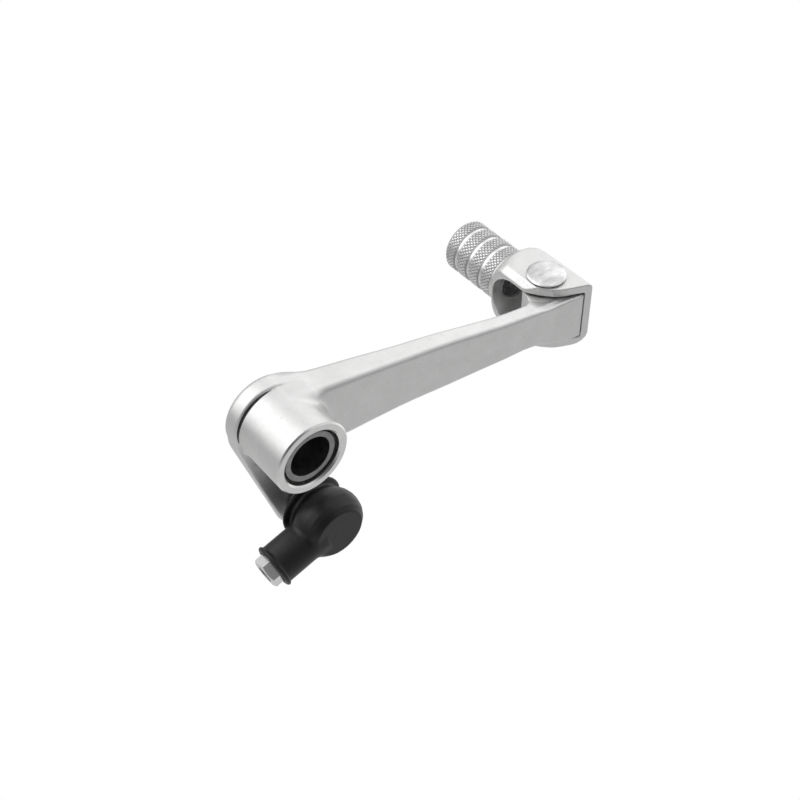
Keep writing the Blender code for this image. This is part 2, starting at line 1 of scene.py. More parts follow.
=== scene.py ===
"""Looks for the folding gear shift lever: forged aluminium, a knurled toe peg and a booted ball joint.

Sizes are in millimetres in the lever's own frame, whose origin is where the pivot axis meets the
boss's engine-side face. X runs along the arm, Y away from the engine and Z up. place() turns
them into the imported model's frame, in metres.
"""

import json
import math

import bmesh
import bpy
import numpy as np
from mathutils import Matrix, Vector

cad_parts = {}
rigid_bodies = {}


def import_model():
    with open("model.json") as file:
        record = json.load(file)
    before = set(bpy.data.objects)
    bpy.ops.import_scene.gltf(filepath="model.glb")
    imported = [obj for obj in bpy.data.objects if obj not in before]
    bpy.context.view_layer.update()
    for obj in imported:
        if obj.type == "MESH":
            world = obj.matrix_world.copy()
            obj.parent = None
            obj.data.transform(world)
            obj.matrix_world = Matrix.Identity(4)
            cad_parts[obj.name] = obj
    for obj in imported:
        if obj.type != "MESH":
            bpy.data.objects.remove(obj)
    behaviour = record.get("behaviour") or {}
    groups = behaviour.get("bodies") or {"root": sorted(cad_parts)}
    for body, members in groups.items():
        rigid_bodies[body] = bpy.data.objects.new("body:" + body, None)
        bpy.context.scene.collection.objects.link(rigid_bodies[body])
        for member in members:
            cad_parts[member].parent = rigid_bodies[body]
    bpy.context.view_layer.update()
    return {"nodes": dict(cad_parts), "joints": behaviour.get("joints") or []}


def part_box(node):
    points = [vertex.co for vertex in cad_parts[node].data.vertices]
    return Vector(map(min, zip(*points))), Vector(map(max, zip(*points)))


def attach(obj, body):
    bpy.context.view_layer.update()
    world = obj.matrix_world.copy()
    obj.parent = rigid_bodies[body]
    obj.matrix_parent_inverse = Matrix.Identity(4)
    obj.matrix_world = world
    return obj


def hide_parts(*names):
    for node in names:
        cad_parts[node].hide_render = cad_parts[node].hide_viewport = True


for leftover in list(bpy.data.objects):
    bpy.data.objects.remove(leftover)

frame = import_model()

JOINTS = {joint["name"]: Vector(joint["pos_m"]) * 1000 for joint in frame["joints"]}
BOSS_FACE_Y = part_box("lever_arm")[0].y * 1000
ORIGIN = Vector((JOINTS["lever_pivot"].x, BOSS_FACE_Y, JOINTS["lever_pivot"].z))
BALL = JOINTS["socket_swivel"] - ORIGIN
RIVET = JOINTS["toe_fold"] - ORIGIN

# ---------------------------------------------------------------- sizes

BORE_RADIUS = 6.0
SLEEVE_RADIUS = 7.7
HOUSING_RADIUS = 8.5
BOSS_RADIUS = 11.0
BOSS_WAIST_RADIUS = 10.55
BOSS_LENGTH = 23.0
COLLAR_RADIUS = 11.4
COLLAR_START = 17.5
EAR_END = 22.3
EYE_RADIUS = 8.7

STEM_ANGLE = math.radians(15.2)
STEM_HEX = 8.0
STEM_END = 22.2
BOOT_TUBE_END = 19.3

STUD_RADIUS = 3.0
STUD_HOLE_RADIUS = 3.3
BALL_RADIUS = 4.0

# Roundness of the boss's and the ear's edges, and the metal left on the boss's end for facing.
EDGE = 2.0
CASTING_ALLOWANCE = 1.5

# The knuckle, from where along the arm it starts to its end beyond the rivet.
KNUCKLE_FROM = 76.0
KNUCKLE_END = 5.4
NOSE_RADIUS = 5.0
PIN_HOLE_RADIUS = 3.9

# The pocket for the spring, open below, with the sector that its upper leg swings through.
SPRING_POCKET_RADIUS = 4.5
SPRING_POCKET_TOP = -0.3
LEG_SLOT_RADIUS = 7.0
LEG_SLOT_START, LEG_SLOT_STOP = 180, 267

# Room for the clevis's plates over the arm, at fold angles from rest to just past the limit.
PLATE_RELIEF = 0.45
FOLD_STEPS = range(0, 60, 8)

# The clevis. FACET_START is where its slanting facets leave the plates.
HEAD_HALF_HEIGHT = 11.2
FACET_START = 5.6
RIVET_RADIUS = 2.8
RIVET_HOLE_RADIUS = 2.9
TAIL_RADIUS = 4.0
TAIL_POCKET_RADIUS = 4.8
TAIL_POCKET_TOP = 9.2
SCREW_RECESS_RADIUS = 5.3
SCREW_RECESS_START, SCREW_RECESS_STOP = 8.0, 13.2
SLOT_HALF_HEIGHT = 8.35
SLOT_ROUND_CENTRE = 5.6
WALL_INSIDE = 5.7
WALL_OUTSIDE = 7.6
PEG_OFFSET = 0.6
PEG_RADIUS = 8.0
PEG_START = 15.7
PEG_END = 35.6
PEG_GROOVES = (20.1, 25.3, 30.5)
GROOVE_HALF = 0.52
GROOVE_DEPTH = 0.5
KNURL_COUNT = 42
KNURL_DEPTH = 0.36
KNURL_FLAT = 0.34

# The clevis seen from above, around the rivet. Its front edge is a long curve up to the wall.
CLEVIS_PLAN = [(WALL_OUTSIDE, 20), (WALL_OUTSIDE, -11.1), (5.4, -10.05), (2.8, -8.9), (0.6, -7.9)]
CLEVIS_PLAN += [(-1.2, -6.95), (-2.6, -5.8), (-4.0, -4.3), (-5.2, -2.8), (-6.3, -1.2), (-7.2, 0.4)]
CLEVIS_PLAN += [(-7.5, 1.6), (-7.5, 20)]

# Mesh fineness of the forged and moulded shapes.
FORGING_STEP = 0.4
CLEVIS_STEP = 0.24
RUBBER_STEP = 0.3


def place(points):
    """Points of the lever's own frame, in millimetres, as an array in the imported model's frame."""
    return (np.asarray(points, float) + np.array(ORIGIN)) / 1000


# ---------------------------------------------------------------- smooth solids from distance fields

def smooth_min(a, b, k):
    """The union of two distance fields with a fillet of about k."""
    overlap = np.maximum(k - np.abs(a - b), 0) / k
    return np.minimum(a, b) - overlap * overlap * k / 4


def smooth_max(a, b, k):
    """The intersection of two distance fields with a rounded edge of about k."""
    return -smooth_min(-a, -b, k)


def polygon_distance(x, y, outline):
    """Signed distance to a closed polygon, negative inside."""
    corners = np.asarray(outline, float)
    nearest = np.full(x.shape, 1e9)
    inside = np.zeros(x.shape, bool)
    for (ax, ay), (bx, by) in zip(corners, np.roll(corners, -1, axis=0)):
        ex, ey = bx - ax, by - ay
        along = np.clip(((x - ax) * ex + (y - ay) * ey) / (ex * ex + ey * ey), 0, 1)
        dx, dy = x - ax - along * ex, y - ay - along * ey
        nearest = np.minimum(nearest, dx * dx + dy * dy)
        if ey:
            crosses = (ay > y) != (by > y)
            inside ^= crosses & (x < ex * (y - ay) / ey + ax)
    return np.sqrt(nearest) * np.where(inside, -1, 1)


def hull_distance(x, y, start, start_radius, end, end_radius):
    """Signed distance to two circles and the straight tangents between them."""
    axis = np.array(end, float) - np.array(start, float)
    length = np.hypot(*axis)
    axis /= length
    along = (x - start[0]) * axis[0] + (y - start[1]) * axis[1]
    across = np.abs((x - start[0]) * axis[1] - (y - start[1]) * axis[0])
    slope = (start_radius - end_radius) / length
    flat = math.sqrt(1 - slope * slope)
    side = -slope * across + flat * along
    round_start = np.hypot(across, along) - start_radius
    round_end = np.hypot(across, along - length) - end_radius
    tangent = flat * across + slope * along - start_radius
    return np.where(side < 0, round_start, np.where(side > flat * length, round_end, tangent))


def surface(field, low, high, step):
    """Quads on the zero level of a distance field, by surface nets, pulled onto the exact level."""
    axes = [np.arange(a, b + step, step) for a, b in zip(low, high)]
    values = field(*np.meshgrid(*axes, indexing="ij"))
    inside = values < 0
    shape = np.array(inside.shape) - 1

    total = np.zeros((*shape, 3))
    count = np.zeros(shape)
    for axis in range(3):
        for first in (0, 1):
            for second in (0, 1):
                start = [slice(0, -1)] * 3
                others = [other for other in range(3) if other != axis]
                offset = np.zeros(3)
                for other, shift in zip(others, (first, second)):
                    start[other] = slice(shift, shape[other] + shift)
                    offset[other] = shift
                stop = list(start)
                stop[axis] = slice(1, None)
                a, b = values[tuple(start)], values[tuple(stop)]
                cut = (a < 0) != (b < 0)
                share = np.where(cut, a / np.where(cut, a - b, 1), 0)
                total += cut[..., None] * offset
                total[..., axis] += share
                count += cut
    used = count > 0
    number = np.full(shape, -1)
    number[used] = np.arange(used.sum())
    cells = np.argwhere(used)
    origin = np.array([axis[0] for axis in axes])
    points = origin + step * (cells + total[used] / count[used][:, None])

    quads = []
    for axis in range(3):
        lower = [slice(1, -1)] * 3
        lower[axis] = slice(0, -1)
        upper = list(lower)
        upper[axis] = slice(1, None)
        start, stop = inside[tuple(lower)], inside[tuple(upper)]
        others = [other for other in range(3) if other != axis]
        for leaving in (True, False):
            found = np.argwhere((start != stop) & (start == leaving))
            found[:, others] += 1
            ring = []
            for first, second in ((-1, -1), (0, -1), (0, 0), (-1, 0)):
                cell = found.copy()
                cell[:, others[0]] += first
                cell[:, others[1]] += second
                ring.append(number[tuple(cell.T)])
            quad = np.stack(ring, axis=1)
            quads.append(quad if leaving != (axis == 1) else quad[:, ::-1])
    quads = np.concatenate(quads)

    reach = step / 4
    for _ in range(3):
        slopes = []
        for axis in range(3):
            nudge = np.zeros(3)
            nudge[axis] = reach
            ahead, behind = (points + nudge).T, (points - nudge).T
            slopes.append((field(*ahead) - field(*behind)) / (2 * reach))
        slopes = np.stack(slopes, axis=1)
        steepness = np.maximum((slopes * slopes).sum(axis=1), 0.25)
        move = -(field(*points.T) / steepness)[:, None] * slopes
        points = points + np.clip(move, -step / 2, step / 2)
    return points, quads


# ---------------------------------------------------------------- meshes

def add_mesh(name, points, faces, material, body, sharp=None):
    """A shaded piece riding on a body. Points are in millimetres in the lever's own frame."""
    mesh = bpy.data.meshes.new(name)
    mesh.from_pydata(place(points).tolist(), [], [list(map(int, face)) for face in faces])
    mesh.update()
    mesh.shade_smooth()
    if sharp:
        mesh.set_sharp_from_angle(angle=math.radians(sharp))
    mesh.materials.append(material)
    made = bpy.data.objects.new(name, mesh)
    bpy.context.scene.collection.objects.link(made)
    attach(made, body)
    return made


def turned(profile, transform, steps):
    """Points and faces of a solid of revolution about local Z, from (radius, height) points."""
    points, rings, faces = [], [], []
    for radius, height in profile:
        count = steps if radius > 1e-6 else 1
        rings.append(list(range(len(points), len(points) + count)))
        for step in range(count):
            angle = math.tau * step / steps
            local = Vector((radius * math.cos(angle), radius * math.sin(angle), height))
            points.append(transform @ local)
    pairs = list(zip(rings, rings[1:]))
    if len(rings[0]) > 1:
        pairs.append((rings[-1], rings[0]))
    for first, second in pairs:
        for step in range(steps):
            after = (step + 1) % steps
            corners = [first[step % len(first)], first[after % len(first)]]
            corners += [second[after % len(second)], second[step % len(second)]]
            distinct = list(dict.fromkeys(corners))
            if len(distinct) > 2:
                faces.append(distinct)
    return points, faces


def add_turned(name, profile, transform, material, body, steps=96, sharp=30):
    """A turned piece. A profile runs so that its faces point outwards."""
    points, faces = turned(profile, transform, steps)
    made = add_mesh(name, points, faces, material, body, sharp)
    outward(made)
    return made


def machine(obj, points, faces, material, sharp):
    """Cuts a closed shape out of a piece. The cut faces take the given material."""
    mesh = bpy.data.meshes.new("tool")
    mesh.from_pydata(place(points).tolist(), [], faces)
    mesh.materials.append(material)
    tool = bpy.data.objects.new("tool", mesh)
    bpy.context.scene.collection.objects.link(tool)
    outward(tool)
    cut = obj.modifiers.new("cut", "BOOLEAN")
    cut.operation = "DIFFERENCE"
    cut.solver = "MANIFOLD"
    cut.object = tool
    obj.data.materials.append(material)
    graph = bpy.context.evaluated_depsgraph_get()
    result = bpy.data.meshes.new_from_object(obj.evaluated_get(graph))
    obj.modifiers.clear()
    obj.data = result
    result.shade_smooth()
    result.set_sharp_from_angle(angle=math.radians(sharp))
    bpy.data.objects.remove(tool)


def outward(obj):
    """Turns a closed mesh's faces outwards."""
    bm = bmesh.new()
    bm.from_mesh(obj.data)
    bmesh.ops.recalc_face_normals(bm, faces=bm.faces)
    bm.to_mesh(obj.data)
    bm.free()


def rounded(profile, radius, steps=3):
    """An open profile with each inner corner replaced by an arc of about this radius."""
    points = [np.array(profile[0], float)]
    for before, corner, after in zip(profile, profile[1:], profile[2:]):
        before, corner, after = (np.array(p, float) for p in (before, corner, after))
        back, ahead = before - corner, after - corner
        reach = min(radius, np.hypot(*back) * 0.45, np.hypot(*ahead) * 0.45)
        start = corner + back / np.hypot(*back) * reach
        end = corner + ahead / np.hypot(*ahead) * reach
        for index in range(steps + 1):
            share = index / steps
            points.append((1 - share) ** 2 * start + 2 * share * (1 - share) * corner + share**2 * end)
    points.append(np.array(profile[-1], float))
    return points


def ring(inner, outer, low, high, edge=0.2):
    """A tube's section, with every corner rounded a little."""
    loop = [(inner, (low + high) / 2), (inner, low), (outer, low), (outer, high), (inner, high)]
    loop.append((inner, (low + high) / 2))
    return rounded(loop, edge)[:-1]


def along_y(centre):
    """Local Z laid along +Y through a point."""
    return Matrix.Translation(Vector(centre)) @ Matrix.Rotation(-math.pi / 2, 4, "X")


ALONG_PIVOT = along_y((0, 0, 0))
STEM_DIRECTION = Vector((-math.cos(STEM_ANGLE), 0, -math.sin(STEM_ANGLE)))
ALONG_STEM = Matrix.Translation(BALL) @ STEM_DIRECTION.to_track_quat("Z", "Y").to_matrix().to_4x4()
PEG_AXIS = along_y(RIVET + Vector((PEG_OFFSET, 0, 0)))
UP_RIVET = Matrix.Translation(RIVET)


# ---------------------------------------------------------------- materials

class Nodes:
    """A short way to write a material's node tree."""

    def __init__(self, name):
        self.material = bpy.data.materials.new(name)
        self.material.use_nodes = True
        self.tree = self.material.node_tree
        self.shader = self.tree.nodes["Principled BSDF"]
        self.position = self.add("ShaderNodeTexCoord").outputs["Object"]

    def add(self, kind, **settings):
        node = self.tree.nodes.new(kind)
        for key, value in settings.items():
            setattr(node, key, value)
        return node

    def link(self, source, target):
        self.tree.links.new(source, target)

    def feed(self, value, target):
        if isinstance(value, bpy.types.NodeSocket):
            self.link(value, target)
        else:
            target.default_value = value

    def math(self, operation, a, b=0.0):
        node = self.add("ShaderNodeMath", operation=operation)
        self.feed(a, node.inputs[0])
        self.feed(b, node.inputs[1])
        return node.outputs[0]

    def stretched(self, scale, offset=(0, 0, 0)):
        """The position scaled per axis and moved, for streaks and for unrelated patterns."""
        node = self.add("ShaderNodeMapping")
        self.link(self.position, node.inputs["Vector"])
        node.inputs["Scale"].default_value = scale
        node.inputs["Location"].default_value = offset
        return node.outputs[0]

    def noise(self, size, detail=3.0, roughness=0.55, vector=None):
        """Noise whose features are about size millimetres across."""
        node = self.add("ShaderNodeTexNoise")
        self.link(vector or self.position, node.inputs["Vector"])
        node.inputs["Scale"].default_value = 1000 / size
        node.inputs["Detail"].default_value = detail
        node.inputs["Roughness"].default_value = roughness
        return node.outputs["Fac"]

    def ramp(self, value, *stops):
        """A value or colour that follows the stops, each (position, value or colour)."""
        node = self.add("ShaderNodeValToRGB")
        elements = node.color_ramp.elements
        for index, (position, colour) in enumerate(stops):
            element = elements[index] if index < 2 else elements.new(position)
            element.position = position
            shade = colour if isinstance(colour, tuple) else (colour, colour, colour)
            element.color = (*shade, 1)
        self.link(value, node.inputs["Fac"])
        return node.outputs["Color"]

    def mix(self, share, a, b):
        node = self.add("ShaderNodeMix", data_type="RGBA")
        self.feed(share, node.inputs["Factor"])
        for value, target in ((a, node.inputs["A"]), (b, node.inputs["B"])):
            if isinstance(value, tuple):
                value = (*value, 1)
            self.feed(value, target)
        return node.outputs["Result"]

    def radial(self, centre, axis):
        """Distance from an axis through a point, in metres, for lathe marks."""
        offset = self.add("ShaderNodeVectorMath", operation="SUBTRACT")
        self.link(self.position, offset.inputs[0])
        offset.inputs[1].default_value = place([centre])[0].tolist()
        flat = self.add("ShaderNodeVectorMath", operation="MULTIPLY")
        self.link(offset.outputs[0], flat.inputs[0])
        flat.inputs[1].default_value = [0.0 if index == axis else 1.0 for index in range(3)]
        length = self.add("ShaderNodeVectorMath", operation="LENGTH")
        self.link(flat.outputs[0], length.inputs[0])
        return length.outputs["Value"]

    def lines(self, coordinate, size):
        """One-dimensional noise along a coordinate in metres, for lathe and grinding marks."""
        node = self.add("ShaderNodeTexNoise", noise_dimensions="1D")
        self.link(coordinate, node.inputs["W"])
        node.inputs["Scale"].default_value = 1000 / size
        node.inputs["Detail"].default_value = 4.0
        return node.outputs["Fac"]

    def bump(self, height, distance, strength=1.0, below=None):
        """A bump whose full height is distance millimetres, on top of another."""
        node = self.add("ShaderNodeBump")
        node.inputs["Distance"].default_value = distance / 1000
        node.inputs["Strength"].default_value = strength
        self.link(height, node.inputs["Height"])
        if below:
            self.link(below, node.inputs["Normal"])
        return node.outputs["Normal"]

    def finish(self, colour, roughness, metallic, normal=None):
        inputs = self.shader.inputs
        if isinstance(colour, tuple):
            colour = (*colour, 1)
        self.feed(colour, inputs["Base Color"])
        self.feed(roughness, inputs["Roughness"])
        inputs["Metallic"].default_value = metallic
        if normal:
            self.link(normal, inputs["Normal"])
        return self.material


def forged_aluminium():
    """Bead-blasted satin aluminium: an even fine grain, faint mottling and a few handling scuffs."""
    nodes = Nodes("satin_forged_aluminium")
    grain = nodes.noise(0.16, 2.0, 0.6)
    skin = nodes.noise(1.1, 3.0, 0.5)
    mottle = nodes.noise(6.0, 4.0, 0.6)
    scuffs = nodes.noise(3.0, 5.0, 0.65, nodes.stretched((1.0, 0.35, 1.0), (0.3, 0.1, 0.2)))
    shade = nodes.ramp(mottle, (0.3, (0.80, 0.80, 0.795)), (0.7, (0.875, 0.875, 0.87)))
    marks = nodes.ramp(scuffs, (0.66, 0.0), (0.74, 0.35))
    colour = nodes.mix(marks, shade, (0.62, 0.62, 0.62))
    specks = nodes.noise(0.55, 2.0, 0.5)
    colour = nodes.mix(nodes.ramp(specks, (0.70, 0.0), (0.75, 0.6)), colour, (0.34, 0.34, 0.34))
    colour = nodes.mix(nodes.ramp(grain, (0.35, 0.22), (0.65, 0.0)), colour, (0.55, 0.55, 0.55))
    rough = nodes.ramp(skin, (0.3, 0.40), (0.7, 0.47))
    normal = nodes.bump(grain, 0.006, 1.0)
    normal = nodes.bump(skin, 0.01, 0.6, normal)
    return nodes.finish(colour, rough, 1.0, normal)


def machined_aluminium(name, centre, axis, lift=0.0):
    """Bright turned aluminium with lathe rings around an axis; lift brightens its cloudy patches."""
    nodes = Nodes(name)
    rings = nodes.lines(nodes.radial(centre, axis), 0.12)
    cloud = nodes.noise(2.5, 3.0)
    cloudy = (0.84 + lift, 0.84 + lift, 0.83 + lift)
    colour = nodes.ramp(cloud, (0.3, cloudy), (0.7, (0.91, 0.91, 0.905)))
    rough = nodes.ramp(rings, (0.3, 0.22), (0.7, 0.34))
    return nodes.finish(colour, rough, 1.0, nodes.bump(rings, 0.004, 0.8))


def steel(name, centre, axis, shade, rough):
    """Turned or ground steel with fine marks around an axis."""
    nodes = Nodes(name)
    rings = nodes.lines(nodes.radial(centre, axis), 0.15)
    cloud = nodes.noise(1.6, 4.0)
    dark = tuple(value * 0.78 for value in shade)
    colour = nodes.ramp(cloud, (0.35, dark), (0.65, shade))
    roughness = nodes.ramp(rings, (0.3, rough * 0.8), (0.7, rough * 1.2))
    return nodes.finish(colour, roughness, 1.0, nodes.bump(rings, 0.004, 0.7))


def zinc(name, shade=(0.80, 0.81, 0.83)):
    """Bright zinc plate: clouded reflections and small tumbling dents."""
    nodes = Nodes(name)
    cloud = nodes.noise(1.8, 5.0, 0.6)
    dents = nodes.noise(0.7, 2.0)
    dark = tuple(value * 0.8 for value in shade)
    colour = nodes.ramp(cloud, (0.3, dark), (0.65, shade))
    rough = nodes.ramp(cloud, (0.3, 0.34), (0.7, 0.2))
    return nodes.finish(colour, rough, 1.0, nodes.bump(dents, 0.02, 0.6))


def polished_steel():
    """The rivet: polished, with fine swirl scratches and a few longer smears."""
    nodes = Nodes("polished_rivet_steel")
    swirl = nodes.noise(0.8, 6.0, 0.7, nodes.stretched((1.0, 0.22, 1.0)))
    smear = nodes.noise(2.2, 4.0, 0.65, nodes.stretched((0.5, 1.0, 1.0), (0.1, 0.2, 0)))
    colour = nodes.ramp(smear, (0.35, (0.62, 0.62, 0.62)), (0.6, (0.86, 0.86, 0.86)))
    rough = nodes.ramp(swirl, (0.35, 0.12), (0.7, 0.30))
    return nodes.finish(colour, rough, 1.0, nodes.bump(swirl, 0.012, 0.6))


def rubber():
    """Satin black rubber with a moulded skin, faint bloom and a little dust."""
    nodes = Nodes("moulded_black_rubber")
    skin = nodes.noise(0.35, 3.0, 0.6)
    wave = nodes.noise(3.5, 3.0, 0.5)
    bloom = nodes.noise(5.0, 5.0, 0.65)
    specks = nodes.noise(0.5, 2.0, 0.5, nodes.stretched((1, 1, 1), (0.5, 0.2, 0.9)))
    colour = nodes.ramp(bloom, (0.3, (0.005, 0.005, 0.005)), (0.75, (0.012, 0.012, 0.012)))
    colour = nodes.mix(nodes.ramp(specks, (0.70, 0.0), (0.77, 0.5)), colour, (0.10, 0.10, 0.10))
    rough = nodes.ramp(skin, (0.3, 0.34), (0.7, 0.46))
    normal = nodes.bump(skin, 0.012, 0.7)
    normal = nodes.bump(wave, 0.05, 0.5, normal)
    return nodes.finish(colour, rough, 0.0, normal)


def bore_shade_material():
    """Painted shade: a patchy near-black colour for the inside of the sleeve, standing in for the shade
    deep in the bore.
    """
    nodes = Nodes("sleeve_bore_painted_shade")
    bore_shade_noise = nodes.noise(1.5, 4.0)
    colour = nodes.ramp(bore_shade_noise, (0.3, (0.012, 0.012, 0.012)), (0.7, (0.035, 0.034, 0.033)))
    rough = nodes.ramp(bore_shade_noise, (0.3, 0.45), (0.7, 0.7))
    return nodes.finish(colour, rough, 0.3, nodes.bump(bore_shade_noise, 0.02, 0.5))


def bronze():
    """Sintered bronze: open-grained and oil-darkened."""
    nodes = Nodes("sintered_bronze_bush")
    grain = nodes.noise(0.25, 4.0, 0.7)
    colour = nodes.ramp(grain, (0.35, (0.16, 0.10, 0.05)), (0.65, (0.46, 0.31, 0.16)))
    rough = nodes.ramp(grain, (0.3, 0.55), (0.7, 0.38))
    return nodes.finish(colour, rough, 1.0, nodes.bump(grain, 0.02, 0.8))


def nylon():
    """Natural moulded nylon."""
    nodes = Nodes("moulded_nylon_liner")
    cloud = nodes.noise(2.0, 3.0)
    colour = nodes.ramp(cloud, (0.3, (0.72, 0.70, 0.63)), (0.7, (0.84, 0.82, 0.76)))
    return nodes.finish(colour, 0.45, 0.0, nodes.bump(nodes.noise(0.3), 0.01, 0.6))


def groove_shade_material():
    """Painted shade: a patchy near-black colour for a groove's faces, standing in for the shade that falls
    in it.
    """
    nodes = Nodes("forging_groove_painted_shade")
    groove_shade_noise = nodes.noise(0.9, 4.0, 0.6)
    colour = nodes.ramp(groove_shade_noise, (0.3, (0.05, 0.05, 0.05)), (0.7, (0.16, 0.16, 0.16)))
    return nodes.finish(colour, 0.7, 0.4, nodes.bump(groove_shade_noise, 0.03, 0.6))


def knurled_aluminium(centre):
    """Knurled bright aluminium: worn bright tips, with painted shade darkening the valleys by their depth.
    """
    nodes = Nodes("knurled_peg_aluminium")
    depth = nodes.math("SUBTRACT", nodes.radial(centre, 1), (PEG_RADIUS - KNURL_DEPTH) / 1000)
    level = nodes.math("MULTIPLY", depth, 1000 / KNURL_DEPTH)
    patches = nodes.noise(4.0, 3.0)
    depth_shade_and_wear = nodes.math("ADD", level, nodes.math("MULTIPLY", patches, 0.2))
    # The colour darkens with depth into the valleys: painted shade.
    colour = nodes.ramp(depth_shade_and_wear, (0.15, 0.50), (0.6, 0.86), (1.0, 0.96))
    rough = nodes.ramp(depth_shade_and_wear, (0.2, 0.5), (0.9, 0.3))
    return nodes.finish(colour, rough, 1.0, nodes.bump(nodes.noise(0.2), 0.006, 0.6))


PIVOT_POINT = (0, 0, 0)
PEG_POINT = tuple(RIVET + Vector((PEG_OFFSET, 0, 0)))
FORGED = forged_aluminium()
FACED = machined_aluminium("faced_boss_aluminium", PIVOT_POINT, 1)
PEG_METAL = machined_aluminium("turned_peg_aluminium", PEG_POINT, 1, 0.06)
KNURL_METAL = knurled_aluminium(PEG_POINT)
# Near-black painted shade for the groove at the foot of the collar.
GROOVE_PAINTED_SHADE = groove_shade_material()
SLEEVE_STEEL = steel("ground_sleeve_steel", PIVOT_POINT, 1, (0.34, 0.34, 0.345), 0.36)
ZINC = zinc("bright_zinc_plate", (0.93, 0.93, 0.94))
# A darker copy of the bright zinc: painted shade for the ball stud and the peg screw, which sit in shade.
ZINC_IN_SHADE = zinc("zinc_plate_painted_shade", (0.50, 0.50, 0.51))
RIVET_STEEL = polished_steel()
RUBBER = rubber()
# Near-black painted shade for the sleeve's bore.
BORE_PAINTED_SHADE = bore_shade_material()
BRONZE = bronze()
NYLON = nylon()
SPRING = steel("drawn_spring_wire", tuple(RIVET), 2, (0.36, 0.36, 0.37), 0.35)


# ---------------------------------------------------------------- forged lever

# The arm's stations along X: front, back, lowest and highest side, and the ridge's roundness.
ARM_X = np.array([4, 10, 16, 26, 36, 50, 60, 70, 77, 82, 85, 88, 91, 97], float)
ARM_FRONT = np.array([10.9, 10.3, 9.7, 8.7, 7.75, 6.4, 5.45, 4.5, 4.1, 3.85, 3.7, 3.5, 3.2, 2.4])
ARM_BACK = np.array([21.6, 20.2, 18.8, 16.8, 14.8, 12.5, 11.0, 9.6, 9.1, 9.0, 9.0, 9.0, 9.0, 9.0])
ARM_LOW = -np.array([9.4, 10.6, 11.2, 10.9, 10.7, 11.3, 11.7, 12.1, 12.5, 13.5, 14.7, 16.3, 17.1, 17.2])
ARM_HIGH = np.array([9.9, 9.5, 8.9, 7.8, 6.6, 4.9, 3.2, 1.5, 0.45, -0.5, -1.2, -1.45, -1.5, -1.55])
ARM_RIDGE = np.array([2.2, 2.0, 1.8, 1.6, 1.5, 1.4, 1.4, 1.3, 1.2, 1.0, 0.9, 0.8, 0.7, 0.6])
KNUCKLE_PLAN = [(-5.6, 3.2), (-6.9, 2.2), (-7.5, 0.3), (-8.5, -2.0), (-9.6, -3.2), (-10.6, -3.9)]
KNUCKLE_PLAN += [(-10.6, -7), (5.3, -7), (5.3, 0)]


def curve(x, stations, values):
    """A smooth curve through the stations, by cubic Hermite pieces."""
    slopes = np.gradient(values, stations)
    index = np.clip(np.searchsorted(stations, x) - 1, 0, len(stations) - 2)
    width = stations[index + 1] - stations[index]
    t = np.clip((x - stations[index]) / width, 0, 1)
    a, b = values[index], values[index + 1]
    da, db = slopes[index] * width, slopes[index + 1] * width
    return a + t * (da + t * (3 * (b - a) - 2 * da - db + t * (2 * (a - b) + da + db)))


def arm_distance(x, y, z):
    """The tapering arm, as a rounded rectangle in each cross-section."""
    front, back = curve(x, ARM_X, ARM_FRONT), curve(x, ARM_X, ARM_BACK)
    low, high = curve(x, ARM_X, ARM_LOW), curve(x, ARM_X, ARM_HIGH)
    radius = curve(x, ARM_X, ARM_RIDGE)
    across = np.abs(y - (front + back) / 2) - (back - front) / 2 + radius
    upright = np.abs(z - (low + high) / 2) - (high - low) / 2 + radius
    section = np.hypot(np.maximum(across, 0), np.maximum(upright, 0)) - radius
    section += np.minimum(np.maximum(across, upright), 0)
    return smooth_max(section, np.maximum(2 - x, x - (RIVET.x + KNUCKLE_END)), 0.6)


def knuckle_distance(x, y, z):
    """The flat-sided knuckle between the clevis's plates, with a round nose about the rivet."""
    u, v = x - RIVET.x, y - RIVET.y
    plan = polygon_distance(u, v, KNUCKLE_PLAN)
    plan = np.minimum(plan, np.hypot(u, v) - NOSE_RADIUS)
    high = curve(x, ARM_X, ARM_HIGH)
    low = curve(x, ARM_X, ARM_LOW)
    tall = np.maximum(z - high, low - z)
    return smooth_max(plan, tall, 0.6)


def ear_distance(x, y, z):
    """The ear from the boss's far end down to the ball stud's eye."""
    hull = hull_distance(x, z, (0, -3), COLLAR_RADIUS - 0.2, (BALL.x, BALL.z), EYE_RADIUS)
    outline = np.minimum(hull, np.hypot(x, z) - COLLAR_RADIUS)
    depth = np.clip(z / BALL.z, 0, 1)
    far = BOSS_LENGTH + (EAR_END - BOSS_LENGTH) * depth
    plate = smooth_max(outline, y - far, EDGE + 2.2 * depth)
    return smooth_max(plate, COLLAR_START - y, 1.0)


def lever_distance(x, y, z):
    """The forging as one solid, with its bores."""
    radius = np.hypot(x, z)
    taper = BOSS_RADIUS + (BOSS_WAIST_RADIUS - BOSS_RADIUS) * np.clip(y / COLLAR_START, 0, 1.3)
    boss = smooth_max(radius - taper, y - BOSS_LENGTH, EDGE)
    under = np.clip((-z - 4) / 8, 0, 1)
    body = smooth_min(boss, ear_distance(x, y, z), 0.35 + 4.0 * under)
    root = 1.0 + 3.6 * np.clip((x - 3) / 6, 0, 1)
    body = smooth_min(body, arm_distance(x, y, z), root)
    body = np.maximum(body, -CASTING_ALLOWANCE - y)
    eye = np.hypot(x - BALL.x, z - BALL.z) - STUD_HOLE_RADIUS
    body = smooth_max(body, -eye, 0.5)
    end = x > KNUCKLE_FROM
    body[end] = knuckle_added(body[end], x[end], y[end], z[end])
    return body


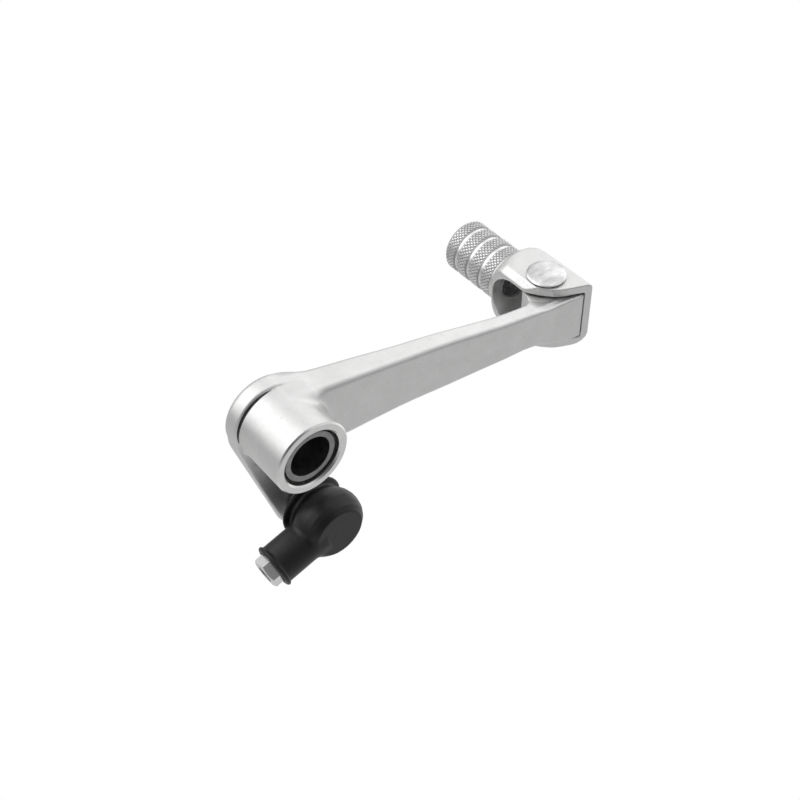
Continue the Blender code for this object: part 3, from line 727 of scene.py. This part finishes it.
def knuckle_added(body, x, y, z):
    """The arm's end with the knuckle, relieved under the clevis's plates and bored for the pin."""
    body = smooth_min(body, knuckle_distance(x, y, z), 0.9)
    u, v, w = x - RIVET.x, y - RIVET.y, z - RIVET.z
    covered = np.full(u.shape, np.inf)
    for fold in FOLD_STEPS:
        cosine, sine = math.cos(math.radians(fold)), math.sin(math.radians(fold))
        under = polygon_distance(u * cosine + v * sine, v * cosine - u * sine, CLEVIS_PLAN)
        covered = np.minimum(covered, under - PLATE_RELIEF)
    relief = np.maximum(covered, SLOT_HALF_HEIGHT - PLATE_RELIEF - np.abs(w))
    body = smooth_max(body, -relief, 0.45)
    body = smooth_max(body, PIN_HOLE_RADIUS - np.hypot(u, v), 0.4)
    angle = np.degrees(np.arctan2(v, u)) % 360
    in_slot = (angle > LEG_SLOT_START) & (angle < LEG_SLOT_STOP)
    reach = np.where(in_slot, LEG_SLOT_RADIUS, SPRING_POCKET_RADIUS)
    pocket = np.maximum(np.hypot(u, v) - reach, w - SPRING_POCKET_TOP)
    return np.maximum(body, -pocket)


LEVER_LOW = (-12.5, -3.0, BALL.z - EYE_RADIUS - 1.5)
LEVER_HIGH = (RIVET.x + KNUCKLE_END + 1.5, BOSS_LENGTH + 1.5, 12.8)
points, quads = surface(lever_distance, LEVER_LOW, LEVER_HIGH, FORGING_STEP)
lever = add_mesh("forged_lever", points, quads, FORGED, "lever", 40)
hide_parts("lever_arm")

# The boss's machined end, bore and chamfers, as the solid that the cutting tools sweep.
CHAMFER = 0.45
tool_path = [(0, -4), (15, -4), (15, 15 - BOSS_RADIUS + CHAMFER), (BOSS_RADIUS - CHAMFER, 0)]
tool_path += [(HOUSING_RADIUS + CHAMFER, 0), (HOUSING_RADIUS, CHAMFER)]
tool_path += [(HOUSING_RADIUS, BOSS_LENGTH - CHAMFER), (HOUSING_RADIUS + 1, BOSS_LENGTH + 1 - CHAMFER)]
tool_path += [(HOUSING_RADIUS + 1, 30), (0, 30)]
machine(lever, *turned(tool_path, ALONG_PIVOT, 144), FACED, 30)


def crescent(radius, level, start, end, depth, steps=48, sides=16):
    """A horn bent round the pivot axis, thickest in the middle and pointed at both ends."""
    points, faces = [], []
    for step in range(steps + 1):
        share = step / steps
        angle = math.radians(start + (end - start) * share)
        thickness = depth * max(math.sin(math.pi * share), 0.02) ** 0.6
        for side in range(sides):
            turn = math.tau * side / sides
            reach = radius + thickness * math.cos(turn)
            along = level + thickness * math.sin(turn)
            points.append((reach * math.cos(angle), along, reach * math.sin(angle)))
    for step in range(steps):
        for side in range(sides):
            a, b = step * sides + side, step * sides + (side + 1) % sides
            faces.append([a, b, b + sides, a + sides])
    faces.append(list(range(sides)))
    faces.append([steps * sides + side for side in range(sides)])
    return points, faces


# The relief at the foot of the collar, on the side away from the arm. Its faces take a near-black painted
# shade.
relief = crescent(BOSS_WAIST_RADIUS + 0.15, COLLAR_START - 0.2, 84, 192, 0.42)
machine(lever, *relief, GROOVE_PAINTED_SHADE, 30)


# ---------------------------------------------------------------- pivot sleeve and seals

SLEEVE_START, SLEEVE_STOP = 1.0, 23.5
sleeve_wall = rounded(
    [(BORE_RADIUS, 12), (BORE_RADIUS, SLEEVE_START), (SLEEVE_RADIUS, SLEEVE_START)]
    + [(SLEEVE_RADIUS, SLEEVE_STOP), (BORE_RADIUS, SLEEVE_STOP), (BORE_RADIUS, 12)],
    0.35,
)[:-1]
sleeve = add_turned("steel_sleeve", sleeve_wall, ALONG_PIVOT, SLEEVE_STEEL, "pivot", 128)
# The faces of the bore take the near-black painted shade.
sleeve.data.materials.append(BORE_PAINTED_SHADE)
pivot_axis = Vector(place([PIVOT_POINT])[0])
for face in sleeve.data.polygons:
    reach = (face.center - pivot_axis) * 1000
    if math.hypot(reach.x, reach.z) < BORE_RADIUS + 0.05:
        face.material_index = 1
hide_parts("pivot_sleeve")

for side, low, high in (("inner", 1.6, 2.8), ("outer", 21.2, 22.4)):
    lip = rounded(
        [(SLEEVE_RADIUS + 0.08, (low + high) / 2), (SLEEVE_RADIUS + 0.08, low + 0.3)]
        + [(SLEEVE_RADIUS + 0.4, low), (HOUSING_RADIUS - 0.08, low), (HOUSING_RADIUS - 0.08, high)]
        + [(SLEEVE_RADIUS + 0.08, high), (SLEEVE_RADIUS + 0.08, (low + high) / 2)],
        0.12,
    )[:-1]
    seal = add_turned(f"lip_seal_{side}", lip, ALONG_PIVOT, RUBBER, "lever", 96)
    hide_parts(f"dust_seal_{side}")


# ---------------------------------------------------------------- ball stud, washer and nut

def hex_body(across_flats, low, high, bore, transform, turn, steps=12):
    """Points and faces of a nut or collar whose hexagon is chamfered by a cone at both ends."""
    flats = across_flats / 2
    crown = flats - 0.15
    outline = []
    for index in range(6 * steps):
        angle = math.tau * index / (6 * steps)
        folded = (angle - turn) % (math.pi / 3) - math.pi / 6
        outline.append((angle, flats / math.cos(folded)))
    rows = []
    slope = math.tan(math.radians(30))
    for height, end in ((low, True), (low, False), (high, False), (high, True)):
        row = []
        for angle, reach in outline:
            radius = min(reach, crown) if end else reach
            drop = 0.0 if end else max(reach - crown, 0) * slope + 0.05
            level = height + (drop if height == low else -drop)
            row.append((radius * math.cos(angle), radius * math.sin(angle), level))
        rows.append(row)
    count = len(outline)
    if bore:
        rows.append([(bore * math.cos(angle), bore * math.sin(angle), high) for angle, _ in outline])
        rows.append([(bore * math.cos(angle), bore * math.sin(angle), low) for angle, _ in outline])
    points = [transform @ Vector(point) for row in rows for point in row]
    faces = []
    pairs = list(zip(range(len(rows)), range(1, len(rows))))
    if bore:
        pairs.append((len(rows) - 1, 0))
    for first, second in pairs:
        for step in range(count):
            after = (step + 1) % count
            faces.append([first * count + step, first * count + after])
            faces[-1] += [second * count + after, second * count + step]
    if not bore:
        faces.append(list(range(count)))
        faces.append([3 * count + step for step in range(count)])
    return points, faces


def add_hex(name, across_flats, low, high, bore, transform, material, body, turn=0.0):
    """A nut, collar or stem end with six flats, bored through unless bore is 0."""
    points, faces = hex_body(across_flats, low, high, bore, transform, turn)
    made = add_mesh(name, points, faces, material, body, 25)
    outward(made)
    return made


def thread_profile(radius, low, high, pitch, depth):
    """The outside of a cut thread, as rings of crests and roots."""
    points = []
    turns = int((high - low) / pitch)
    for turn in range(turns):
        start = low + turn * pitch
        points += [(radius - depth, start), (radius, start + pitch * 0.42)]
        points += [(radius, start + pitch * 0.58)]
    points.append((radius - depth, low + turns * pitch))
    return points


AT_BALL = along_y(BALL)
HEX_START = 7.8
HEX_END = COLLAR_START - BALL.y - 0.3
WASHER_START = EAR_END - BALL.y + 0.3
WASHER_END = WASHER_START + 1.4
NUT_START = WASHER_END + 0.3
NUT_END = NUT_START + 3.2
STUD_END = NUT_END + 0.9

stud_profile = [(0, -BALL_RADIUS)]
for degrees in range(-85, 55, 6):
    angle = math.radians(degrees)
    stud_profile.append((BALL_RADIUS * math.cos(angle), BALL_RADIUS * math.sin(angle)))
stud_profile += [(2.35, 3.6), (2.3, 6.0), (2.9, HEX_START + 0.4)]
stud_profile += [(STUD_RADIUS, HEX_END), (STUD_RADIUS, WASHER_START - 1.0)]
stud_profile += thread_profile(STUD_RADIUS, WASHER_START - 0.6, STUD_END - 0.5, 1.0, 0.55)
stud_profile += [(2.2, STUD_END), (0, STUD_END)]
stud = add_turned("ball_stud_body", stud_profile, AT_BALL, ZINC_IN_SHADE, "lever", 64, 30)
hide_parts("ball_stud")
collar = add_hex("ball_stud_hexagon", 11, HEX_START, HEX_END, 0, AT_BALL, ZINC_IN_SHADE, "lever")
section = ring(STUD_HOLE_RADIUS, 7.8, WASHER_START, WASHER_END, 0.25)
washer = add_turned("plain_washer", section, AT_BALL, ZINC, "lever")
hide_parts("stud_washer")
nut = add_hex("lock_nut", 10, NUT_START, NUT_END, 3.08, AT_BALL, ZINC, "lever")
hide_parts("stud_nut")


# ---------------------------------------------------------------- rubber boot

BULB = [(0, -5.6), (7.5, -5.6), (7.62, -5.48), (8.85, -4.35), (9.65, -3.0), (10.1, -1.1), (10.15, 0.4)]
BULB += [(9.85, 2.0), (9.2, 3.5), (8.3, 4.8), (7.9, 5.6), (8.2, 6.3), (9.3, 6.75), (9.65, 7.0)]
BULB += [(9.6, 7.5), (9.2, 7.6), (0, 7.6)]
BOOT_HOLLOW = [(0, -4.9), (7.2, -4.9), (8.25, -3.5), (8.6, -2.0), (8.6, 2.6), (8.2, 3.9), (7.3, 4.9)]
BOOT_HOLLOW += [(2.8, 4.9), (2.8, 9.5), (0, 9.5)]


def mirrored(profile):
    """A profile and its mirror image, as one closed outline across the axis."""
    return profile + [(-radius, height) for radius, height in reversed(profile) if radius]


def boot_distance(x, y, z):
    """The moulded boot: bulb, base lip, stem tube with its rolled lip, and the hollow inside."""
    u, v, w = x - BALL.x, y - BALL.y, z - BALL.z
    radius = np.hypot(u, w)
    bulb = polygon_distance(radius, v, mirrored(BULB))
    along = u * STEM_DIRECTION.x + w * STEM_DIRECTION.z
    across = np.hypot(u * STEM_DIRECTION.z - w * STEM_DIRECTION.x, v)
    tube = smooth_max(across - 5.83, np.maximum(4 - along, along - BOOT_TUBE_END), 0.3)
    lip = np.hypot(across - 5.75, (along - BOOT_TUBE_END + 0.62) * 1.15) - 0.68
    tube = smooth_min(tube, lip, 0.35)
    outside = smooth_min(bulb, tube, 0.9)
    hollow = polygon_distance(radius, v, mirrored(BOOT_HOLLOW))
    channel = np.maximum(across - 4.3, 5 - along)
    mouth = np.maximum(across - 4.95, 16.7 - along)
    inside = np.minimum(hollow, np.minimum(channel, mouth))
    return smooth_max(outside, -inside, 0.3)


reach = np.array([STEM_DIRECTION.x, 0, STEM_DIRECTION.z]) * (BOOT_TUBE_END + 1)
corners = np.array([[-11.5] * 3, [11.5] * 3, reach - 8, reach + 8]) + np.array(BALL)
points, quads = surface(boot_distance, corners.min(axis=0), corners.max(axis=0), RUBBER_STEP)
boot = add_mesh("rubber_boot", points, quads, RUBBER, "socket", 50)
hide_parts("dust_boot")

SOCKET_SHELL = [(5.6, -4.75), (6.9, -4.75), (8.0, -3.5), (8.0, 3.3), (6.9, 4.6), (4.9, 4.6), (4.9, 2.9)]
SOCKET_SHELL += [(5.6, 2.9)]
shell = add_turned("socket_shell", SOCKET_SHELL, AT_BALL, ZINC, "socket", 64)
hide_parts("ball_socket")
stem = add_hex("threaded_stem", STEM_HEX, 8.2, STEM_END, 2.5, ALONG_STEM, ZINC, "socket", 0.35)


# ---------------------------------------------------------------- folding clevis

FLARE = [(0, -30), (24, -30), (24, 0), (13.4, 5), (12.9, 8), (12.2, 10.7), (11.3, 12.7), (10.0, 13.9)]
FLARE += [(8.9, 14.4), (8.0, 14.5), (0, 14.5)]
# The head seen along the peg: a large corner low on the wall's side and a small one above it.
HEAD_OUTLINE = [(-30, -HEAD_HALF_HEIGHT), (3.4, -HEAD_HALF_HEIGHT), (4.9, -10.9), (6.2, -10.0)]
HEAD_OUTLINE += [(7.2, -8.6), (WALL_OUTSIDE, -7.0), (WALL_OUTSIDE, 9.8), (7.3, 10.6)]
HEAD_OUTLINE += [(6.6, HEAD_HALF_HEIGHT), (-30, HEAD_HALF_HEIGHT)]


def clevis_distance(x, y, z):
    """The clevis with its two plates, stop wall, flared collar and round-ended slot."""
    u, v, w = x - RIVET.x, y - RIVET.y, z - RIVET.z
    plan = polygon_distance(u, v, CLEVIS_PLAN)
    body = smooth_max(plan, np.abs(w) - HEAD_HALF_HEIGHT, 0.35)
    facet = (np.abs(w) - u - HEAD_HALF_HEIGHT - FACET_START) / math.sqrt(2)
    body = smooth_max(body, facet, 0.15)
    flare = polygon_distance(np.hypot(u - PEG_OFFSET, w), v, mirrored(FLARE))
    body = smooth_max(body, flare, 0.9)
    body = smooth_max(body, polygon_distance(u, w, HEAD_OUTLINE), 0.4)
    slot = np.where(
        v > SLOT_ROUND_CENTRE, np.hypot(v - SLOT_ROUND_CENTRE, w), np.abs(w)
    ) - SLOT_HALF_HEIGHT
    slot = smooth_max(slot, u - WALL_INSIDE, 0.6)
    body = smooth_max(body, -slot, 0.3)
    recess = np.maximum(np.hypot(u - PEG_OFFSET, w) - SCREW_RECESS_RADIUS, v - SCREW_RECESS_STOP)
    recess = np.maximum(recess, SCREW_RECESS_START - v)
    body = smooth_max(body, -recess, 0.3)
    radius = np.hypot(u, v)
    tail_pocket = np.maximum(radius - TAIL_POCKET_RADIUS, w + TAIL_POCKET_TOP)
    hole = np.minimum(radius - RIVET_HOLE_RADIUS, tail_pocket)
    return smooth_max(body, -hole, 0.3)


low = np.array(RIVET) + (-9, -14, -12.5)
high = np.array(RIVET) + (9.2, 16, 12.5)
points, quads = surface(clevis_distance, low, high, CLEVIS_STEP)
clevis = add_mesh("folding_clevis", points, quads, FORGED, "toe", 40)
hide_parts("toe_clevis")

neck = rounded(
    [(5.6, 14.0), (7.9, 14.0), (7.9, 14.55), (7.35, 14.75), (7.35, 15.1), (7.95, 15.3), (7.95, 15.6)]
    + [(5.6, 15.6), (5.6, 14.0)],
    0.15,
)[:-1]
add_turned("clevis_collar", neck, PEG_AXIS, PEG_METAL, "toe", 128)


# ---------------------------------------------------------------- knurled peg

def knurl_band(low, high, transform):
    """One band of diamond knurling: pyramids with worn tips between crossing V grooves."""
    pitch = math.tau * PEG_RADIUS / KNURL_COUNT
    rows = 2 * max(round((high - low) / pitch), 1)
    columns = 2 * KNURL_COUNT
    root = PEG_RADIUS - KNURL_DEPTH

    def at(column, row, radius):
        angle = math.tau * column / columns
        height = low + (high - low) * row / rows
        return transform @ Vector((radius * math.cos(angle), radius * math.sin(angle), height))

    points, faces, index = [], [], {}

    def root_point(column, row):
        key = (column % columns, row)
        if key not in index:
            index[key] = len(points)
            points.append(at(key[0], row, root))
        return index[key]

    for row in range(rows + 1):
        for column in range(columns):
            if (column + row) % 2 == 0:
                continue
            sides = [(column + 1, row), (column, row + 1), (column - 1, row), (column, row - 1)]
            inside = [side for side in sides if 0 <= side[1] <= rows]
            corners = [root_point(*side) for side in inside]
            if len(inside) < 4:
                faces.append(corners)
                continue
            top = []
            for side_column, side_row in inside:
                share_column = column + (side_column - column) * KNURL_FLAT
                share_row = row + (side_row - row) * KNURL_FLAT
                top.append(len(points))
                points.append(at(share_column, share_row, PEG_RADIUS))
            faces.append(top)
            for first in range(4):
                second = (first + 1) % 4
                faces.append([corners[first], corners[second], top[second], top[first]])
    rims = []
    for row in (0, rows):
        rims.append([index[(column, row)] for column in range(columns) if (column + row) % 2 == 0])
    for rim, height in zip(rims, (low - 0.12, high + 0.12)):
        inner = []
        for key in rim:
            point = transform.inverted() @ points[key]
            length = math.hypot(point.x, point.y)
            factor = (root - 0.3) / length
            inner.append(len(points))
            points.append(transform @ Vector((point.x * factor, point.y * factor, height)))
        for step in range(len(rim)):
            after = (step + 1) % len(rim)
            faces.append([rim[step], rim[after], inner[after], inner[step]])
        faces.append(inner)
    return points, faces


edges = [PEG_START]
for groove in PEG_GROOVES:
    edges += [groove - GROOVE_HALF, groove + GROOVE_HALF]
edges.append(PEG_END - 0.9)
for number, (low, high) in enumerate(zip(edges[::2], edges[1::2]), start=1):
    points, faces = knurl_band(low, high, PEG_AXIS)
    band = add_mesh(f"knurl_band_{number}", points, faces, KNURL_METAL, "toe", 12)
    outward(band)

core_radius = PEG_RADIUS - GROOVE_DEPTH
core = [(0, 17.5), (3.1, 17.5), (3.1, PEG_START + 0.05), (core_radius, PEG_START + 0.05)]
core += [(core_radius, PEG_END - 1.3), (PEG_RADIUS - KNURL_DEPTH, PEG_END - 1.1)]
core += [(PEG_RADIUS - 0.45, PEG_END - 0.75), (PEG_RADIUS - 0.8, PEG_END - 0.35)]
core += [(PEG_RADIUS - 1.3, PEG_END - 0.1), (PEG_RADIUS - 1.9, PEG_END), (0, PEG_END)]
peg = add_turned("toe_peg_core", core, PEG_AXIS, PEG_METAL, "toe", 128, 30)
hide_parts("toe_peg")


# ---------------------------------------------------------------- rivet

rivet_top = HEAD_HALF_HEIGHT + 0.3
dome = [(0, rivet_top + 1.2), (1.5, rivet_top + 1.16), (2.9, rivet_top + 1.03), (4.1, rivet_top + 0.81)]
dome += [(5.1, rivet_top + 0.54), (5.5, rivet_top + 0.4), (5.66, rivet_top + 0.28), (5.7, rivet_top + 0.1)]
dome += [(5.55, rivet_top), (RIVET_RADIUS, rivet_top)]
tail_top = -HEAD_HALF_HEIGHT + 0.8
tail = [(RIVET_RADIUS, tail_top), (TAIL_RADIUS, tail_top), (TAIL_RADIUS, tail_top - 0.45)]
tail += [(TAIL_RADIUS - 0.8, tail_top - 0.7)]
tail += [(0, tail_top - 0.75)]
rivet = add_turned("rivet_pin", dome + tail, UP_RIVET, RIVET_STEEL, "toe", 96, 40)
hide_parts("fold_rivet")
section = ring(RIVET_HOLE_RADIUS, 4.5, -10.1, -9.5, 0.15)
under_washer = add_turned("rivet_under_washer", section, UP_RIVET, RIVET_STEEL, "toe")
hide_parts("rivet_washer")


# ---------------------------------------------------------------- carried-over CAD nodes

KEPT = {
    "pivot_bush_inner": BRONZE,
    "pivot_bush_outer": BRONZE,
    "fold_bush": BRONZE,
    "ball_cup": NYLON,
    "socket_cap": ZINC,
    "peg_screw": ZINC_IN_SHADE,
    "fold_spring": SPRING,
}
for node, material in KEPT.items():
    kept = frame["nodes"][node]
    kept.data.materials.clear()
    kept.data.materials.append(material)


# ---------------------------------------------------------------- floor, light and camera

def add_floor():
    """A plain pale floor just under the lever."""
    mesh = bpy.data.meshes.new("floor")
    reach = 3.0
    corners = [(-reach, -reach, 0), (reach, -reach, 0), (reach, reach, 0), (-reach, reach, 0)]
    mesh.from_pydata(corners, [], [(0, 1, 2, 3)])
    floor = bpy.data.objects.new("floor", mesh)
    floor.location.z = -0.02
    bpy.context.scene.collection.objects.link(floor)
    paper = bpy.data.materials.new("pale_paper")
    paper.use_nodes = True
    tree = paper.node_tree
    tree.nodes.remove(tree.nodes["Principled BSDF"])
    glow = tree.nodes.new("ShaderNodeEmission")
    glow.inputs["Color"].default_value = (1, 1, 1, 1)
    glow.inputs["Strength"].default_value = 1.0
    tree.links.new(glow.outputs[0], tree.nodes["Material Output"].inputs["Surface"])
    mesh.materials.append(paper)
    floor.visible_glossy = False
    floor.visible_diffuse = False
    floor.visible_shadow = False


# Brightness of the studio by the height of the direction, from straight down to straight up.
STUDIO = [(0.0, 0.66), (0.14, 0.54), (0.30, 0.54), (0.44, 0.32), (0.52, 0.28), (0.61, 0.48)]
STUDIO += [(0.72, 0.72), (0.84, 0.79), (1.0, 1.05)]
# Soft areas that brighten or darken it: direction, the cosines where each starts and is full, and
# the brightness that it adds.
WINDOW = ((0.95, 0.25, 0.1), 0.55, 0.95, 0.6)
LAMP = ((-0.50, 0.60, 0.62), 0.72, 0.98, 0.8)
VIEWER = ((-0.30, -0.62, 0.72), 0.62, 0.97, -0.62)


def add_studio():
    """Soft light from all round: bright above and to the right, darker low down and at the viewer."""
    world = bpy.data.worlds.new("studio")
    bpy.context.scene.world = world
    world.use_nodes = True
    tree = world.node_tree
    nodes, links = tree.nodes, tree.links
    direction = nodes.new("ShaderNodeTexCoord").outputs["Generated"]
    split = nodes.new("ShaderNodeSeparateXYZ")
    links.new(direction, split.inputs[0])
    level = nodes.new("ShaderNodeMapRange")
    level.inputs["From Min"].default_value = -1
    links.new(split.outputs["Z"], level.inputs["Value"])
    ramp = nodes.new("ShaderNodeValToRGB")
    ramp.color_ramp.elements.remove(ramp.color_ramp.elements[1])
    for index, (position, value) in enumerate(STUDIO):
        elements = ramp.color_ramp.elements
        element = elements.new(position) if index else elements[0]
        element.position = position
        element.color = (value / 2, value / 2, value / 2, 1)
    links.new(level.outputs[0], ramp.inputs["Fac"])
    total = nodes.new("ShaderNodeMath")
    total.operation = "MULTIPLY"
    links.new(ramp.outputs["Color"], total.inputs[0])
    total.inputs[1].default_value = 2
    for towards, start, full, share in (WINDOW, LAMP, VIEWER):
        facing = nodes.new("ShaderNodeVectorMath")
        facing.operation = "DOT_PRODUCT"
        links.new(direction, facing.inputs[0])
        facing.inputs[1].default_value = Vector(towards).normalized()
        area = nodes.new("ShaderNodeMapRange")
        area.interpolation_type = "SMOOTHSTEP"
        area.inputs["From Min"].default_value = start
        area.inputs["From Max"].default_value = full
        area.inputs["To Max"].default_value = share
        links.new(facing.outputs["Value"], area.inputs["Value"])
        added = nodes.new("ShaderNodeMath")
        added.operation = "ADD"
        links.new(total.outputs[0], added.inputs[0])
        links.new(area.outputs[0], added.inputs[1])
        total = added
    never_black = nodes.new("ShaderNodeMath")
    never_black.operation = "MAXIMUM"
    links.new(total.outputs[0], never_black.inputs[0])
    never_black.inputs[1].default_value = 0.04
    background = nodes["Background"]
    links.new(never_black.outputs[0], background.inputs["Strength"])
    background.inputs["Color"].default_value = (1, 1, 1, 1)
    # Beyond the floor's edge the camera sees plain white paper, which lights nothing.
    paper = nodes.new("ShaderNodeBackground")
    paper.inputs["Color"].default_value = (1, 1, 1, 1)
    seen = nodes.new("ShaderNodeMixShader")
    links.new(nodes.new("ShaderNodeLightPath").outputs["Is Camera Ray"], seen.inputs["Fac"])
    links.new(background.outputs[0], seen.inputs[1])
    links.new(paper.outputs[0], seen.inputs[2])
    links.new(seen.outputs[0], nodes["World Output"].inputs["Surface"])


def add_camera():
    """The photograph's viewpoint."""
    azimuth, elevation, roll = (math.radians(angle) for angle in (-39.0, 45.5, -0.4))
    back = Vector((math.sin(azimuth) * math.cos(elevation), -math.cos(azimuth) * math.cos(elevation),
                   math.sin(elevation)))
    right = Vector((math.cos(azimuth), math.sin(azimuth), 0))
    up = back.cross(right)
    right, up = (
        math.cos(roll) * right + math.sin(roll) * up,
        -math.sin(roll) * right + math.cos(roll) * up,
    )
    data = bpy.data.cameras.new("camera")
    data.sensor_width = 36
    data.lens = 66.5
    data.clip_start = 0.01
    camera = bpy.data.objects.new("camera", data)
    bpy.context.scene.collection.objects.link(camera)
    eye = place([(-139, -206.2, 272.9)])[0]
    camera.matrix_world = Matrix(
        [[right[row], up[row], back[row], eye[row]] for row in range(3)] + [[0, 0, 0, 1]]
    )
    bpy.context.scene.camera = camera


add_floor()
add_studio()
add_camera()
bpy.context.scene.view_settings.view_transform = "Standard"
